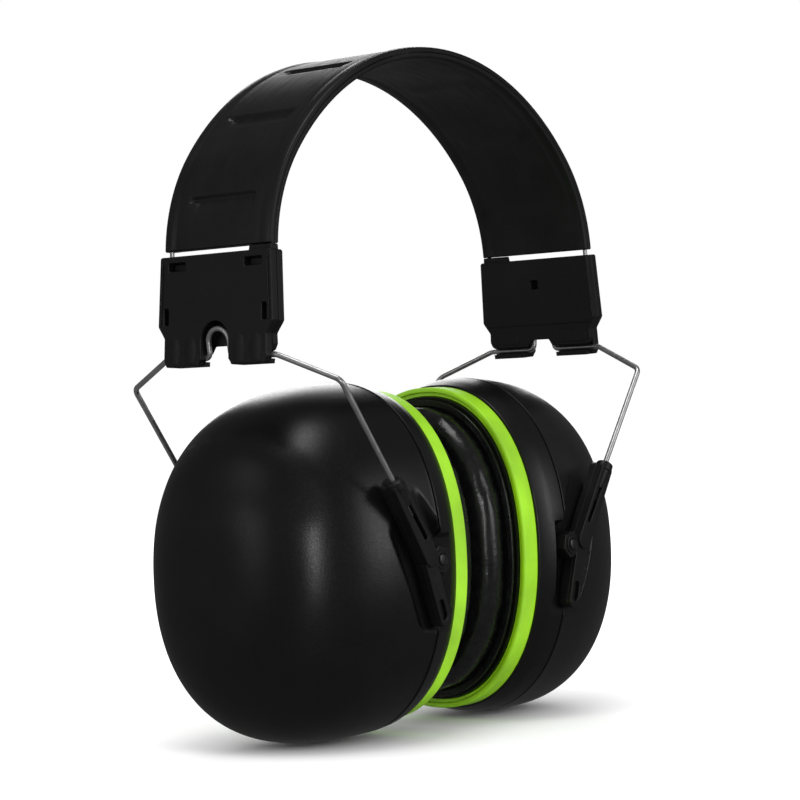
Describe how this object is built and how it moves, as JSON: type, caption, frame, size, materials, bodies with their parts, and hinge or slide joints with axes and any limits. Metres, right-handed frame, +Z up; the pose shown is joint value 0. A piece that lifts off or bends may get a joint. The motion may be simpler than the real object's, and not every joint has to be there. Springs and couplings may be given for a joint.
{
  "type": "hearing protection earmuffs",
  "caption": "Passive over-ear hearing protection: deep ear cups with soft cushions on a sprung, sleeved wire headband with height adjustment.",
  "frame": {"origin": "middle of the wearer's head, between the two ear cushions, on the line through the cup pivots", "axes": "+X out through the right cup, -Y the front, +Z up to the crown of the headband"},
  "size_m": [0.1634, 0.0902, 0.2112],
  "materials": {
    "sleeve_black": "flexible moulded elastomer, satin",
    "hard_black": "moulded polyamide, fine satin grain",
    "satin_black": "moulded ABS shell, soft satin sheen",
    "accent_green": "moulded high-visibility yellow-green, half gloss",
    "spring_steel": "drawn stainless spring wire",
    "pin_steel": "turned stainless pin",
    "leatherette": "polyurethane leatherette, half gloss, fine grain",
    "soft_foam": "open-cell foam, matt"
  },
  "bodies": {
    "headband": {"headband_outer_cover": "sleeve_black", "headband_inner_lining": "sleeve_black", "headband_wire_front": "spring_steel", "headband_wire_rear": "spring_steel", "left_terminal_outer_plate": "hard_black", "left_terminal_inner_plate": "hard_black", "right_terminal_outer_plate": "hard_black", "right_terminal_inner_plate": "hard_black"},
    "left_yoke": {"left_yoke_wire": "spring_steel"},
    "left_guides": {"left_wire_guide_front": "hard_black", "left_wire_guide_rear": "hard_black"},
    "left_cup": {"left_cup_shell": "satin_black", "left_cup_rim_section": "satin_black", "left_accent_ring": "accent_green", "left_cushion_plate": "hard_black", "left_ear_cushion_cover": "leatherette", "left_ear_cushion_foam": "soft_foam", "left_damping_foam": "soft_foam", "left_guide_pin_front": "pin_steel", "left_guide_pin_rear": "pin_steel"},
    "right_yoke": {"right_yoke_wire": "spring_steel"},
    "right_guides": {"right_wire_guide_front": "hard_black", "right_wire_guide_rear": "hard_black"},
    "right_cup": {"right_cup_shell": "satin_black", "right_cup_rim_section": "satin_black", "right_accent_ring": "accent_green", "right_cushion_plate": "hard_black", "right_ear_cushion_cover": "leatherette", "right_ear_cushion_foam": "soft_foam", "right_damping_foam": "soft_foam", "right_guide_pin_front": "pin_steel", "right_guide_pin_rear": "pin_steel"}
  },
  "joints": [
    {"name": "left_yoke_swing", "type": "hinge", "parent": "headband", "child": "left_yoke", "pos_m": [-0.0778, 0, 0.0626], "axis": [0, 1, 0], "range_deg": [0, 14]},
    {"name": "left_height_slide", "type": "slide", "parent": "left_yoke", "child": "left_guides", "axis": [-0.5664, 0, 0.8241], "range_m": [0, 0.014]},
    {"name": "left_cup_tilt", "type": "hinge", "parent": "left_guides", "child": "left_cup", "pos_m": [-0.032, 0, 0], "axis": [0, -1, 0], "range_deg": [0, 14]},
    {"name": "right_yoke_swing", "type": "hinge", "parent": "headband", "child": "right_yoke", "pos_m": [0.0778, 0, 0.0626], "axis": [0, -1, 0], "range_deg": [0, 14]},
    {"name": "right_height_slide", "type": "slide", "parent": "right_yoke", "child": "right_guides", "axis": [0.5664, 0, 0.8241], "range_m": [0, 0.014]},
    {"name": "right_cup_tilt", "type": "hinge", "parent": "right_guides", "child": "right_cup", "pos_m": [0.032, 0, 0], "axis": [0, 1, 0], "range_deg": [0, 14]}
  ],
  "couplings": [
    {"joint": "left_cup_tilt", "follows": "left_yoke_swing", "ratio": 1},
    {"joint": "right_cup_tilt", "follows": "right_yoke_swing", "ratio": 1}
  ]
}
